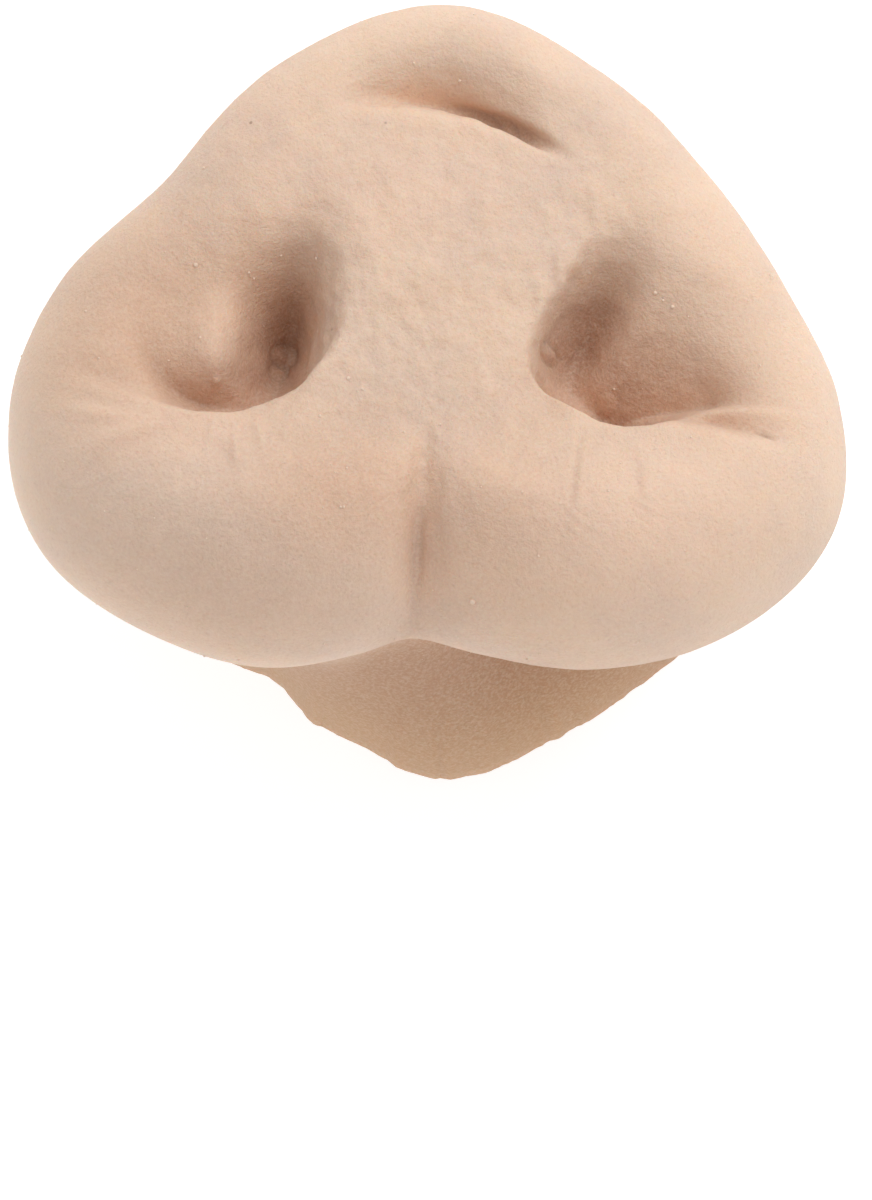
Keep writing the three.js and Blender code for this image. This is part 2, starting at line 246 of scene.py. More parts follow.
# %% [markdown]
# ## Folds
#
# A fold is a dent along an arc, such as the crease under the top edge or the groove between the
# lobes. The arc needs three points only: where it starts, a point that it bends towards, and
# where it ends. A real fold is uneven, with one wall steep and the other long, so it has its own
# width on the **left** and on the **right** of its line, and it is deepest at its **peak**.

# %% Folds
Fold = namedtuple("Fold", "name depth start by end left right peak")
FOLDS = [
    Fold(
        "under the top edge", 0.9 * CREASE_DEPTH,
        (-0.27, 0.845), (0.05, 0.968), (0.345, 0.68), left=0.115, right=0.028, peak=0.5,
    ),
    Fold(
        "between the lobes", GROOVE_DEPTH,
        (-0.028, -0.15), (-0.02, -0.55), (-0.08, -1.05), left=0.18, right=0.045, peak=0.66,
    ),
    Fold(
        "beside the right nostril", 0.65 * CREASE_DEPTH,
        (0.4, -0.06), (0.65, 0.0), (0.9, -0.06), left=0.13, right=0.025, peak=0.52,
    ),
    Fold(
        "lower one beside the right nostril", 0.42 * CREASE_DEPTH,
        (0.42, -0.07), (0.63, -0.07), (0.86, -0.18), left=0.07, right=0.03, peak=0.55,
    ),
    Fold(
        "beside the left nostril", 0.22 * CREASE_DEPTH,
        (-0.64, 0.0), (-0.76, 0.02), (-0.9, 0.12), left=0.05, right=0.07, peak=0.4,
    ),
    Fold(
        "foot of the left nostril", 0.38 * CREASE_DEPTH,
        (-0.69, 0.34), (-0.7, -0.13), (-0.35, 0.01), left=0.07, right=0.045, peak=0.65,
    ),
    Fold(
        "foot of the right nostril", 0.5 * CREASE_DEPTH,
        (0.33, 0.1), (0.39, -0.18), (0.62, -0.01), left=0.1, right=0.035, peak=0.5,
    ),
]
ARC_STEPS = 24


def along_arc(start, by, end, x, y):
    """For points of the disc, the distance to an arc, how far along it is nearest, and its side."""
    t = np.linspace(0, 1, ARC_STEPS + 1)[:, None]
    corners = [np.array(p) * (HALF_WIDTH, HALF_HEIGHT) for p in (start, by, end)]
    points = (1 - t) ** 2 * corners[0] + 2 * t * (1 - t) * corners[1] + t**2 * corners[2]
    nearest = np.full(np.shape(x), np.inf)
    along = np.zeros(np.shape(x))
    side = np.zeros(np.shape(x))
    for i, (a, b) in enumerate(zip(points, points[1:])):
        run = b - a
        at_x = x - a[0]
        at_y = y - a[1]
        part = np.clip((at_x * run[0] + at_y * run[1]) / (run @ run), 0, 1)
        gap = np.hypot(at_x - part * run[0], at_y - part * run[1])
        closer = gap < nearest
        nearest = np.where(closer, gap, nearest)
        along = np.where(closer, (i + part) / ARC_STEPS, along)
        side = np.where(closer, run[0] * at_y - run[1] * at_x, side)
    return nearest, along, side


def fold_share(fold, x, y, spread=0.0):
    """How deep a fold is at points of the disc, from 0 to 1."""
    nearest, along, side = along_arc(fold.start, fold.by, fold.end, x, y)
    width = np.where(side > 0, fold.left, fold.right) * HALF_WIDTH + spread
    taper = np.where(along < fold.peak, along / fold.peak, (1 - along) / (1 - fold.peak))
    return smooth(taper) * np.exp(-2 * (nearest / width) ** 1.5)


print("folds:", ", ".join(fold.name for fold in FOLDS))

# %% [markdown]
# ## Swellings, and all the relief together
#
# A swelling is a soft hump, or a soft hollow where its rise is below zero. The lobes are the two
# large ones. Then one function adds up what the disc's form does to a plain cushion. The nostrils
# come first and carry the latex sideways, under their lips, and all other forms are laid where
# the points end up after that. The inside follows the same forms, but wider and calmer, since the
# wall lies between.

# %% Swellings and relief
Swelling = namedtuple("Swelling", "name x y wide high rise")
SWELLINGS = [
    Swelling("left lobe", -0.52, -0.4, 0.46, 0.4, 1.25 * LOBE_SWELL),
    Swelling("right lobe", 0.54, -0.42, 0.48, 0.4, 1.3 * LOBE_SWELL),
    Swelling("plateau", -0.02, 0.4, 0.34, 0.3, 0.5 * LOBE_SWELL),
    Swelling("floor of the left nostril", -0.49, 0.13, 0.1, 0.15, 2.2 * LOBE_SWELL),
    Swelling("round the left nostril", -0.58, 0.26, 0.26, 0.3, -0.9 * LOBE_SWELL),
    Swelling("round the right nostril", 0.62, 0.09, 0.24, 0.24, -0.6 * LOBE_SWELL),
]
INNER_CALM = 0.85
INNER_SPREAD = 1.5


def swelling_share(swelling, x, y):
    """How strong a swelling or a patch is at points of the disc, from 0 to 1."""
    across = (x / HALF_WIDTH - swelling.x) / swelling.wide
    up = (y / HALF_HEIGHT - swelling.y) / swelling.high
    return np.exp(-(across**2) - up**2)


def relief(x, y, spread, calm):
    """What the disc's form adds to a plain cushion: how far points move in x, y and outwards."""
    across = np.zeros(np.shape(x))
    up = np.zeros(np.shape(x))
    out = np.zeros(np.shape(x))
    for nostril in NOSTRILS:
        depth = nostril.deep * nostril_share(nostril, x, y, spread)
        across = across + depth * nostril.inward * (1 if nostril.side == "left" else -1)
        up = up - depth * nostril.down
        out = out - depth
    x = x + across
    y = y + up
    out = out - sum(nostril.core_deep * core_share(nostril, x, y, spread) for nostril in NOSTRILS)
    out = out + sum(s.rise * swelling_share(s, x, y) for s in SWELLINGS)
    out = out - calm * sum(fold.depth * fold_share(fold, x, y, spread) for fold in FOLDS)
    return across, up, out


print("swellings:", ", ".join(swelling.name for swelling in SWELLINGS))

# %% [markdown]
# ## The section in one direction
#
# Cut the casting from its middle outwards and you see one line: the face of the disc, then the
# rolled edge, which is a part of an ellipse, and then the skirt, a curve with two handles that
# comes straight down onto the table. We walk it by a **station**: 0 to 1 is the face, 1 to 2 the
# roll, 2 to 3 the skirt. The inside is the same line a wall's thickness in.

# %% The section
ON_FACE = 1
ROUND_ROLL = 2
AT_EDGE = 3
EDGE_BLEND = 0.5


def way_out(angle):
    """The way from the disc's middle: its shares along x and y, and the length that reach 1 has."""
    x = np.cos(np.radians(angle)) * HALF_WIDTH
    y = np.sin(np.radians(angle)) * HALF_HEIGHT
    length = np.hypot(x, y)
    return x / length, y / length, length


def plain_section(angle, station):
    """Distance from the axis and height of the outside, for arrays of angles and stations."""
    disc = {name: curve(angle) for name, curve in disc_curves.items()}
    glued = {name: curve(angle) for name, curve in glued_curves.items()}
    _, _, scale = way_out(angle)
    roll_wide = disc["roll"] * HALF_WIDTH
    roll_high = disc["drop"] * SNOUT_DEPTH
    crest = disc["crest"] * SNOUT_DEPTH
    flat = disc["reach"] * scale - roll_wide

    face_height = FACE_CENTRE * SNOUT_DEPTH + (crest - FACE_CENTRE * SNOUT_DEPTH) * smooth(station) ** 2
    turned = np.radians(disc["tuck"] * np.clip(station - ON_FACE, 0, 1))
    roll = (flat + roll_wide * np.sin(turned), crest - roll_high * (1 - np.cos(turned)))

    tuck = np.radians(disc["tuck"])
    start = (flat + roll_wide * np.sin(tuck), crest - roll_high * (1 - np.cos(tuck)))
    leave = (
        start[0] + np.cos(tuck) * SKIRT_LEAVES * SNOUT_DEPTH,
        start[1] - np.sin(tuck) * SKIRT_LEAVES * SNOUT_DEPTH,
    )
    end = (glued["reach"] * scale, np.maximum(glued["arch"], 0) * SNOUT_DEPTH)
    land = (end[0], end[1] + SKIRT_LANDS * SNOUT_DEPTH)
    t = np.clip(station - ROUND_ROLL, 0, 1)
    skirt = [
        (1 - t) ** 3 * a + 3 * t * (1 - t) ** 2 * b + 3 * t**2 * (1 - t) * c + t**3 * d
        for a, b, c, d in zip(start, leave, land, end)
    ]
    reach = np.where(station <= ON_FACE, flat * station, np.where(station <= ROUND_ROLL, roll[0], skirt[0]))
    height = np.where(station <= ON_FACE, face_height, np.where(station <= ROUND_ROLL, roll[1], skirt[1]))
    return reach, height


def outwards(angle, station):
    """The way out of the latex, square to the section: its share outwards and its share up."""
    step = 0.01
    ahead = plain_section(angle, np.minimum(station + step, AT_EDGE))
    behind = plain_section(angle, np.maximum(station - step, 0))
    across = ahead[0] - behind[0]
    down = ahead[1] - behind[1]
    length = np.hypot(across, down)
    out = np.where(station == 0, 0, np.where(station == AT_EDGE, 1, -down / length))
    up = np.where(station == 0, 1, np.where(station == AT_EDGE, 0, across / length))
    return out, up


def place(angle, station, inset, spread, calm):
    """Points of the casting for arrays of angles and stations, in mm."""
    reach, height = plain_section(angle, station)
    out, up = outwards(angle, station)
    reach = reach - inset * out
    height = height - inset * up
    way_x, way_y, _ = way_out(angle)
    x = way_x * reach
    y = way_y * reach
    turned = np.clip((station - ON_FACE) * disc_curves["tuck"](angle), 0, 90)
    fade = np.where(station >= ROUND_ROLL, 0, np.cos(np.radians(turned)) ** 2)
    across, along, raised = (fade * move for move in relief(x, y, spread, calm))
    aside = out * raised
    return np.stack([x + way_x * aside + across, y + way_y * aside + along, height + up * raised], -1)


print("height of the face's middle: %.1f mm" % plain_section(np.zeros(1), np.zeros(1))[1][0])

# %% [markdown]
# ## The grid of the casting
#
# One closed net of four-sided faces goes from the middle of the inside out to the glued edge and
# back up to the middle of the disc. It is finest on the outer face, where the eye looks, and
# coarse inside. All of it stays under two hundred thousand triangles.

# %% Lay the grid
STEPS_ROUND = 480
OUTER_STEPS = {"face": 122, "roll": 26, "skirt": 18}
INNER_STEPS = {"face": 24, "roll": 6, "skirt": 8}


def spaced(start, end, steps):
    """Even stations from start on, without the end."""
    return start + (end - start) * np.arange(steps) / steps


outer_stations = np.concatenate([
    spaced(0, ON_FACE, OUTER_STEPS["face"]),
    spaced(ON_FACE, ROUND_ROLL, OUTER_STEPS["roll"]),
    spaced(ROUND_ROLL, AT_EDGE, OUTER_STEPS["skirt"]),
    [AT_EDGE],
])
inner_stations = np.concatenate([
    spaced(0, ON_FACE, INNER_STEPS["face"]),
    spaced(ON_FACE, ROUND_ROLL, INNER_STEPS["roll"]),
    spaced(ROUND_ROLL, AT_EDGE, INNER_STEPS["skirt"]),
    [AT_EDGE],
])
angles = FULL_TURN * np.arange(STEPS_ROUND) / STEPS_ROUND
outer_angle, outer_station = np.meshgrid(angles, outer_stations, indexing="ij")
inner_angle, inner_station = np.meshgrid(angles, inner_stations, indexing="ij")

outer = place(outer_angle, outer_station, 0, 0, 1)
thinning = smooth((inner_station - AT_EDGE + EDGE_BLEND) / EDGE_BLEND)
inner = place(
    inner_angle, inner_station, WALL + (GLUE_EDGE - WALL) * thinning, INNER_SPREAD * WALL, INNER_CALM
)
disc_axis = (outer.reshape(-1, 3).min(0) + outer.reshape(-1, 3).max(0)) / 2 * (1, 1, 0)
print("disc's axis lies at", np.round(-disc_axis[:2], 2), "mm from the middle of the footprint")

# %% [markdown]
# ## Where things are on the disc
#
# The small forms and the colours need to know where a point lies: on the disc, in a pit, or in a
# pit's core. The colour darkens pits and cores as painted shade. A **patch** is a soft spot with a
# strength, and makes a place paler, browner or rougher than the form alone would. In the pits, the
# lit patches hold that painted shade back where a wall faces the lamp, and the shaded ones add
# more of it.

# %% Pits, cores and patches
Patch = namedtuple("Patch", "name x y wide high strength")
# Patches that hold back the painted shade in the pits, where a wall faces the lamp.
LIT_IN_PITS = [
    Patch("floor of the left nostril", -0.5, 0.16, 0.09, 0.12, 0.75),
    Patch("right wall of the left nostril", -0.26, 0.19, 0.05, 0.17, 0.9),
    Patch("lip of the right nostril", 0.27, 0.03, 0.05, 0.09, 0.5),
]
# Patches that add painted shade deep in the pits.
SHADED_IN_PITS = [
    Patch("floor of the right nostril", 0.46, 0.07, 0.1, 0.12, 0.6),
    Patch("foot of the left nostril", -0.41, 0.09, 0.06, 0.07, 0.85),
]
FOOT_IN_CORE = 0.6


def grid_normals(points):
    """Unit normals of a grid whose first index goes round and whose second goes outwards."""
    round_the_axis = np.roll(points, -1, 0) - np.roll(points, 1, 0)
    outward = np.gradient(points, axis=1)
    normal = np.cross(outward, round_the_axis)
    normal[:, 0] = (0, 0, 1)
    return normal / np.maximum(np.linalg.norm(normal, axis=-1, keepdims=True), 1e-9)


def unmoved(angle, station):
    """Where points of the outside lay before the nostrils carried them sideways."""
    reach, _ = plain_section(angle, station)
    way_x, way_y, _ = way_out(angle)
    return way_x * reach, way_y * reach


def patches(rows):
    """How strong a list of patches is at each point of the outside, where the strongest counts."""
    return np.maximum.reduce([patch.strength * swelling_share(patch, x, y) for patch in rows])


normals = grid_normals(outer)
x, y = outer[..., 0], outer[..., 1]
on_disc = 1 - smooth(outer_station - ON_FACE)
pit_shade_kept = 1 - patches(LIT_IN_PITS)
pit_shares = [nostril_share(nostril, *unmoved(outer_angle, outer_station)) for nostril in NOSTRILS]
# The pit and core notes darken the colour as painted shade, since less light reaches down there.
pit = on_disc * np.maximum(*pit_shares) * pit_shade_kept
core_shares = [core_share(nostril, x, y) for nostril in NOSTRILS]
core_shares += [FOOT_IN_CORE * fold_share(fold, x, y) for fold in FOLDS if fold.name.startswith("foot")]
core = on_disc * pit_shade_kept * np.maximum.reduce(core_shares + [patches(SHADED_IN_PITS)])
print("points in a pit:", int((pit > 0.5).sum()), "of", pit.size)

# %% [markdown]
# ## Wrinkles
#
# The form is right now, but too smooth. The latex puckers beside the nostrils, where the clay
# was pushed in with a finger. A wrinkle uses the same arc as a large fold, has a width in mm, and
# is a ridge where its depth is below zero. We collect how far each point has to move along its
# own normal, and a line of painted shade in the colour along each dented wrinkle.

# %% Wrinkles
Wrinkle = namedtuple("Wrinkle", "start by end depth width")
WRINKLES = [
    Wrinkle((0.0, 0.89), (0.16, 0.845), (0.37, 0.665), 1.05, 0.42),
    Wrinkle((-0.22, 0.87), (-0.14, 0.91), (-0.04, 0.91), 0.15, 0.6),
    Wrinkle((-0.027, -0.3), (-0.02, -0.53), (-0.055, -0.78), 0.4, 0.35),
    Wrinkle((-0.93, 0.05), (-0.8, -0.04), (-0.62, -0.08), 0.12, 0.45),
    Wrinkle((-0.92, -0.03), (-0.78, -0.08), (-0.6, -0.11), -0.22, 0.5),
    Wrinkle((-0.88, -0.33), (-0.78, -0.16), (-0.55, -0.12), 0.08, 0.4),
    Wrinkle((-0.86, -0.2), (-0.72, -0.12), (-0.58, -0.1), -0.24, 0.5),
    Wrinkle((-0.54, -0.13), (-0.48, -0.2), (-0.43, -0.3), 0.1, 0.45),
    Wrinkle((0.36, -0.1), (0.34, -0.25), (0.31, -0.62), 0.18, 0.25),
    Wrinkle((0.475, -0.16), (0.49, -0.35), (0.52, -0.52), 0.14, 0.25),
    Wrinkle((0.5, -0.12), (0.62, -0.15), (0.8, -0.18), -0.22, 0.9),
    Wrinkle((-0.5, -0.07), (-0.51, -0.14), (-0.54, -0.26), -0.2, 0.28),
    Wrinkle((-0.46, -0.08), (-0.455, -0.16), (-0.46, -0.3), -0.18, 0.25),
    Wrinkle((-0.42, -0.07), (-0.4, -0.13), (-0.39, -0.24), -0.16, 0.25),
    Wrinkle((0.2, 0.2), (0.24, 0.02), (0.42, -0.1), -0.3, 0.6),
    Wrinkle((-0.17, 0.2), (-0.22, 0.06), (-0.36, -0.03), -0.25, 0.6),
    Wrinkle((0.3, 0.44), (0.285, 0.36), (0.29, 0.26), 0.12, 0.3),
    Wrinkle((0.31, 0.42), (0.3, 0.35), (0.315, 0.27), -0.2, 0.35),
    Wrinkle((0.27, 0.34), (0.255, 0.26), (0.265, 0.19), -0.2, 0.35),
    Wrinkle((0.02, -0.5), (0.1, -0.58), (0.17, -0.66), -0.08, 0.4),
    Wrinkle((-0.8, 0.45), (-0.88, 0.2), (-0.93, -0.1), -0.08, 0.5),
    Wrinkle((0.38, 0.66), (0.36, 0.5), (0.4, 0.36), 0.1, 0.5),
]
WRINKLE_TAPER = 2.2

move = np.zeros(x.shape)
line = np.zeros(x.shape)
for wrinkle in WRINKLES:
    nearest, along, _ = along_arc(wrinkle.start, wrinkle.by, wrinkle.end, x, y)
    taper = smooth(WRINKLE_TAPER * along) * smooth(WRINKLE_TAPER * (1 - along))
    dent = taper * np.exp(-((nearest / wrinkle.width) ** 2)) * on_disc
    move -= wrinkle.depth * dent
    # A dented wrinkle leaves a line of painted shade in the colour.
    line = np.maximum(line, min(max(wrinkle.depth, 0), 1) * dent)
print("wrinkles:", len(WRINKLES), "from %.2f to %.2f mm" % (move.min(), move.max()))

# %% [markdown]
# ## Blisters and pin holes
#
# Air in the mould leaves round blisters deep in the nostrils, a millimetre or so across: a low
# dome with a ring pressed round it. Air in the latex itself leaves pin holes. Both are placed in
# mm from the middle of the disc.

# %% Blisters and pin holes
Blister = namedtuple("Blister", "x y radius rise ring")
BLISTERS = [
    Blister(-9.4, 3.8, 0.78, 0.22, 0.24),
    Blister(-9.75, 2.7, 0.5, 0.16, 0.2),
    Blister(7.7, 2.93, 0.56, 0.14, 0.2),
    Blister(11.36, 0.02, 0.75, 0.05, 0.08),
    Blister(-13.7, 1.0, 0.3, 0.24, 0),
]
PinHole = namedtuple("PinHole", "x y radius depth")
PIN_HOLES = [
    PinHole(-20.3, -11.8, 0.15, 0.18),
    PinHole(21.3, -3.1, 0.15, 0.18),
]
RING_WIDTH = 0.16
DOME_EASE = 1.2
DARK_EASE = 1.5

for blister in BLISTERS:
    gap = np.hypot(x - blister.x, y - blister.y)
    ring = np.exp(-(((gap - blister.radius) / RING_WIDTH) ** 2))
    move += on_disc * (blister.rise * smooth(DOME_EASE - gap / blister.radius) - blister.ring * ring)
for hole in PIN_HOLES:
    gap = np.hypot(x - hole.x, y - hole.y)
    # A pin hole is darkened in the colour as painted shade.
    line = np.maximum(line, smooth(DARK_EASE - gap / hole.radius))
    move -= on_disc * hole.depth * smooth(DOME_EASE - gap / hole.radius)
print("blisters:", len(BLISTERS), "and pin holes:", len(PIN_HOLES))

# %% [markdown]
# ## Lumps
#
# The plateau between the nostrils was dabbed with a sponge, so it is lumpy, and so is a rough
# strip above the right nostril. Elsewhere the skin is calmer. Three sizes of soft noise on top of
# each other look more natural than one. Now every point of the outside moves along its normal.

# %% Lumps
Lump = namedtuple("Lump", "size height")
LUMPS = [
    Lump(3.2, 0.26),
    Lump(1.4, 0.17),
    Lump(0.6, 0.08),
]
DABBED = [
    Patch("plateau", 0, 0.35, 0.42, 0.6, 1),
    Patch("rough strip", 0.37, 0.5, 0.05, 0.16, 1),
]
LUMPS_ELSEWHERE = 0.35
SEED_STEP = 10


def lumpy(points, size, seed):
    """Soft noise from about -1 to 1, with lumps of a size in mm."""
    flat = points.reshape(-1, 3) / size + seed
    return np.array([noise.noise(Vector(p)) for p in flat]).reshape(points.shape[:-1])


dabbed = sum(patch.strength * swelling_share(patch, x, y) for patch in DABBED)
lumpiness = on_disc * (LUMPS_ELSEWHERE + (1 - LUMPS_ELSEWHERE) * dabbed)
for i, lump in enumerate(LUMPS):
    move += lump.height * lumpiness * lumpy(outer, lump.size, SEED_STEP * i)
outer += move[..., None] * normals
print("small forms move the skin from %.2f to %.2f mm" % (move.min(), move.max()))

# %% [markdown]
# ## The thin edge
#
# Latex is poured into a mould and back out, so it ends in a thin, uneven edge. It shows at the
# tongue over the upper lip. The edge keeps its line on the table and is nicked only where the
# tongue stands off it.

# %% The thin edge
TONGUE_ANGLE = 271
TONGUE_WIDTH = 46
TONGUE_EASE = 1.4
NICK = 0.55
NICK_LEVEL = 0.6
NICK_ASIDE = 0.4
NICK_CIRCLE = 20
Uneven = namedtuple("Uneven", "size share seed")
UNEVEN = [
    Uneven(1.1, 1.0, 3),
    Uneven(0.4, 0.6, 7),
]


def in_tongue(angle):
    """How much a direction belongs to the tongue over the lip, from 0 to 1."""
    return smooth(TONGUE_EASE - np.abs(angle - TONGUE_ANGLE) / TONGUE_WIDTH)


def nick(points, angle, station):
    """Raises and shifts the last stretch of the skirt in the tongue, unevenly."""
    near_edge = smooth((station - AT_EDGE + EDGE_BLEND) / EDGE_BLEND) * in_tongue(angle)
    way = np.stack([np.cos(np.radians(angle)), np.sin(np.radians(angle)), np.zeros(angle.shape)], -1)
    uneven = sum(row.share * lumpy(way * NICK_CIRCLE, row.size, row.seed) for row in UNEVEN)
    points[..., 2] += near_edge * NICK * (NICK_LEVEL + uneven)
    points += (near_edge * NICK_ASIDE * NICK * uneven)[..., None] * way


nick(outer, outer_angle, outer_station)
nick(inner, inner_angle, inner_station)
print("glued edge, highest point: %.1f mm" % outer[:, -1, 2].max())

# %% [markdown]
# ## The mesh of the casting
#
# The two grids become one net. For each direction its points run from the inside's middle out to
# the glued edge and back over the outside. The two middles themselves come last.

# %% Make the mesh of the casting
def casting_mesh():
    """The inside and the outside as one closed net."""
    rings = np.concatenate([inner[:, 1:], outer[:, :0:-1]], axis=1)
    count = rings.shape[1]
    vertices = np.concatenate([rings.reshape(-1, 3), inner[:1, 0], outer[:1, 0]])
    inner_middle = STEPS_ROUND * count
    outer_middle = inner_middle + 1
    faces = []
    for i in range(STEPS_ROUND):
        here = i * count
        there = (i + 1) % STEPS_ROUND * count
        faces += [(here + k, there + k, there + k + 1, here + k + 1) for k in range(count - 1)]
        faces.append((inner_middle, there, here))
        faces.append((here + count - 1, there + count - 1, outer_middle))
    mesh = bpy.data.meshes.new("snout")
    mesh.from_pydata(((vertices - disc_axis) * MM).tolist(), [], faces)
    mesh.update()
    mesh.shade_smooth()
    return mesh


snout = bpy.data.objects.new("latex_snout", casting_mesh())
bpy.context.scene.collection.objects.link(snout)
print("casting:", len(snout.data.polygons), "faces")

# %% [markdown]
# ## Pips
#
# Air in the plaster mould leaves small hollows, and the latex fills them, so a casting carries
# tiny round pips all over. They are far too small for the grid. So each is a dome of its own, and
# all are joined into one mesh. The larger ones stand where the photograph shows them, on the spot
# where a ray straight down meets the skin. The rest are strewn by chance, most of them tiny.

# %% Pips
Pip = namedtuple("Pip", "x y radius height")
PLACED_PIPS = [
    Pip(2.7, -13.6, 0.2, 0.16),
    Pip(14.4, 6.5, 0.15, 0.12),
    Pip(15.5, 5.6, 0.14, 0.12),
    Pip(14.9, 6.0, 0.1, 0.08),
    Pip(-15.0, 8.4, 0.17, 0.13),
    Pip(-14.7, 3.6, 0.12, 0.1),
    Pip(-11.6, 8.0, 0.11, 0.1),
    Pip(-11.3, 7.7, 0.1, 0.08),
    Pip(-7.3, 8.9, 0.12, 0.1),
    Pip(-5.2, 0.6, 0.15, 0.13),
    Pip(-4.3, -0.1, 0.12, 0.1),
    Pip(-7.0, -1.9, 0.13, 0.1),
    Pip(1.9, 20.4, 0.12, 0.1),
    Pip(21.9, 8.0, 0.2, 0.16),
]
LOOSE_PIPS = 260
LOOSE_REACH = 2.4
LOOSE_NEAREST = 0.01
LOOSE_SMALLEST = 0.05
LOOSE_RANGE = 0.07
LOOSE_HEIGHT = 0.8
LOOSE_SEED = 5
PIP_SIDES = 10
PIP_RINGS = 3
PIP_POINTS = PIP_SIDES * PIP_RINGS + 1
SUNK = 0.04


def dome(bm, foot, normal, radius, height):
    """A small dome on the skin, sunk a little into it."""
    turn = Vector((0, 0, 1)).rotation_difference(normal).to_matrix()
    sunk = foot - SUNK * normal
    turns = [2 * math.pi * side / PIP_SIDES for side in range(PIP_SIDES)]
    rings = []
    for ring in range(PIP_RINGS):
        slope = math.pi / 2 * ring / PIP_RINGS
        wide = radius * math.cos(slope)
        high = (height + SUNK) * math.sin(slope)
        spots = [sunk + turn @ Vector((wide * math.cos(a), wide * math.sin(a), high)) for a in turns]
        rings.append([bm.verts.new(spot * MM) for spot in spots])
    top = bm.verts.new((foot + height * normal) * MM)
    for below, above in zip(rings, rings[1:]):
        for side in range(PIP_SIDES):
            nxt = (side + 1) % PIP_SIDES
            bm.faces.new((below[side], below[nxt], above[nxt], above[side]))
    for side in range(PIP_SIDES):
        bm.faces.new((rings[-1][side], rings[-1][(side + 1) % PIP_SIDES], top))
    bm.faces.new(rings[0][::-1])


def skin_below(tree, x, y):
    """Where a ray straight down meets the casting, and its normal, in mm from the disc's axis."""
    above = Vector((x - disc_axis[0], y - disc_axis[1], 2 * SNOUT_DEPTH)) * MM
    spot, normal, _, _ = tree.ray_cast(above, Vector((0, 0, -1)))
    return spot / MM, normal


def loose_pips(rng):
    """Small pips strewn over the disc, its roll and the upper part of the skirt."""
    strewn = []
    for _ in range(LOOSE_PIPS):
        angle = rng.uniform(0, FULL_TURN)
        station = LOOSE_REACH * math.sqrt(rng.uniform(LOOSE_NEAREST, 1))
        i = int(angle / FULL_TURN * STEPS_ROUND) % STEPS_ROUND
        k = int(np.searchsorted(outer_stations, station)) - 1
        radius = LOOSE_SMALLEST + LOOSE_RANGE * rng.uniform() ** 3
        foot = Vector(outer[i, k] - disc_axis)
        strewn.append((foot, Vector(skin_normals[i, k]), radius, LOOSE_HEIGHT * radius))
    return strewn


def pips_mesh():
    """All the domes in one mesh, the placed ones first."""
    bm = bmesh.new()
    bm.from_mesh(snout.data)
    tree = BVHTree.FromBMesh(bm)
    bm.free()
    bm = bmesh.new()
    for pip in PLACED_PIPS:
        foot, normal = skin_below(tree, pip.x, pip.y)
        dome(bm, foot, normal, pip.radius, pip.height)
    for foot, normal, radius, height in loose_pips(np.random.default_rng(LOOSE_SEED)):
        dome(bm, foot, normal, radius, height)
    mesh = bpy.data.meshes.new("pips")
    bm.to_mesh(mesh)
    bm.free()
    mesh.shade_smooth()
    return mesh


skin_normals = grid_normals(outer)
pips = bpy.data.objects.new("casting_pips", pips_mesh())
bpy.context.scene.collection.objects.link(pips)
print("pips:", len(PLACED_PIPS) + LOOSE_PIPS, "domes,", len(pips.data.polygons), "faces")

# %% [markdown]
# ## Notes on the skin: patches
#
# The material has to know where the pits, the folds and the fine lines are, and we worked these
# out for the form. To them we add patches of painted shade, a darker and browner colour where the
# skin should lie in more shade, patches of painted light, a paler and rosier colour where it should
# catch more light, and one where the powder lies thick, which also paints shade on the left lobe.

# %% Painted shade, painted light and powdered patches
# Painted shade: these patches darken the colour where the snout should lie in more shade.
SHADE_PATCHES = [
    Patch("round the left nostril", -0.72, 0.26, 0.32, 0.34, 1.25),
    Patch("left flank", -0.82, 0.14, 0.2, 0.22, 1.15),
    Patch("left wall of the left nostril", -0.44, 0.36, 0.08, 0.18, 1.1),
    Patch("round the right nostril", 0.52, 0.08, 0.14, 0.16, 0.9),
    Patch("end of the right fold", 0.74, -0.1, 0.14, 0.06, 1.2),
    Patch("right lobe", 0.14, -0.42, 0.22, 0.34, 0.9),
    Patch("right flank", 0.76, 0.3, 0.2, 0.4, 0.4),
    Patch("top of the groove", -0.2, -0.32, 0.25, 0.26, 1.15),
    Patch("under the left lobe", -0.5, -0.66, 0.5, 0.2, 0.8),
    Patch("foot of the right lobe", 0.16, -0.62, 0.26, 0.14, 0.8),
    Patch("middle of the plateau", 0.02, 0.26, 0.16, 0.08, 0.25),
]
# Painted light: these patches make the colour paler and rosier where the snout should catch more light.
LIGHT_PATCHES = [
    Patch("brow of the plateau", -0.12, 0.6, 0.36, 0.22, 0.8),
    Patch("left of the crease", -0.5, 0.86, 0.2, 0.2, 0.7),
    Patch("under the left nostril", -0.66, -0.14, 0.22, 0.1, 0.8),
    Patch("face of the right lobe", 0.56, -0.48, 0.28, 0.3, 0.9),
]
# The powder on the left lobe makes it greyer and darker, partly as painted shade, since that lobe turns
# away from the lamp.
POWDER_AND_SHADE_PATCHES = [
    Patch("left lobe", -0.5, -0.46, 0.46, 0.36, 1),
]

# The fold note darkens the colour along the folds as painted shade.
fold_shade = on_disc * np.maximum.reduce([fold_share(fold, x, y) for fold in FOLDS])
painted_shade = on_disc * patches(SHADE_PATCHES)
painted_light = on_disc * patches(LIGHT_PATCHES)
powder_and_shade = on_disc * patches(POWDER_AND_SHADE_PATCHES)
print("patches:", len(SHADE_PATCHES), "warm,", len(LIGHT_PATCHES), "rosy,", len(POWDER_AND_SHADE_PATCHES), "powder_and_shade_mix")

